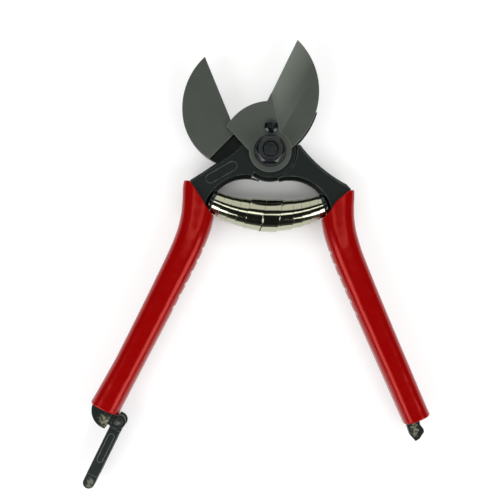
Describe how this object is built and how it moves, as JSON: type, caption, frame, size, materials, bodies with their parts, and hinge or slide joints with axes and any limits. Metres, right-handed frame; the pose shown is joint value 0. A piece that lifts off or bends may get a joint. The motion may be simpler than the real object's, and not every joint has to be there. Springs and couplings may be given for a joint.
{
  "type": "pruning shears",
  "caption": "Double-cut pruning shears, held open by a volute spring, with bypass blades, a bolted lap joint, red sleeve grips and a swinging handle catch.",
  "frame": {"origin": "point where the pivot axis meets the plane that the shears rest on, which is the back face of the pivot bolt's head", "axes": "+X to the right and +Y towards the blade tips, seen from the nut's side, and +Z along the pivot towards the nut; the shears lie open on their back, symmetric about +Y but for the laps"},
  "size_m": [0.1773, 0.234, 0.0254],
  "materials": {
    "forged_steel": "black enamel, semi-gloss",
    "blade_steel": "brushed, ground along the blade, with a dark grey-green tone",
    "black_fastener": "glossy black oxide",
    "lock_ring": "matt nylon",
    "spring_steel": "nickel plated, polished",
    "grip": "glossy moulded vinyl",
    "catch_steel": "worn black steel"
  },
  "bodies": {
    "left_half": {"left_handle": "forged_steel", "cutting_blade": "blade_steel", "cutting_blade_screw": "black_fastener", "pivot_bolt": "black_fastener", "dished_washer": "black_fastener", "nut_washer": "black_fastener", "pivot_nut": "black_fastener", "nut_lock_ring": "lock_ring", "left_spring_peg": "black_fastener", "left_grip": "grip", "catch_rivet": "catch_steel"},
    "right_half": {"right_handle": "forged_steel", "counter_blade": "blade_steel", "counter_blade_screws": "black_fastener", "right_spring_peg": "black_fastener", "right_grip": "grip", "volute_spring": "spring_steel"},
    "catch": {"catch_lever": "catch_steel"}
  },
  "joints": [
    {"name": "cut", "type": "hinge", "parent": "left_half", "child": "right_half", "pos_m": [0, 0, 0.009], "axis": [0, 0, -1], "range_deg": [0, 50.5], "stiffness_Nm_per_rad": 1, "springref_deg": -28.65, "deforming": ["volute_spring"]},
    {"name": "catch_swing", "type": "hinge", "parent": "left_half", "child": "catch", "pos_m": [-0.07312, -0.14124, 0.009], "axis": [0, 0, 1], "range_deg": [0, 84]}
  ]
}
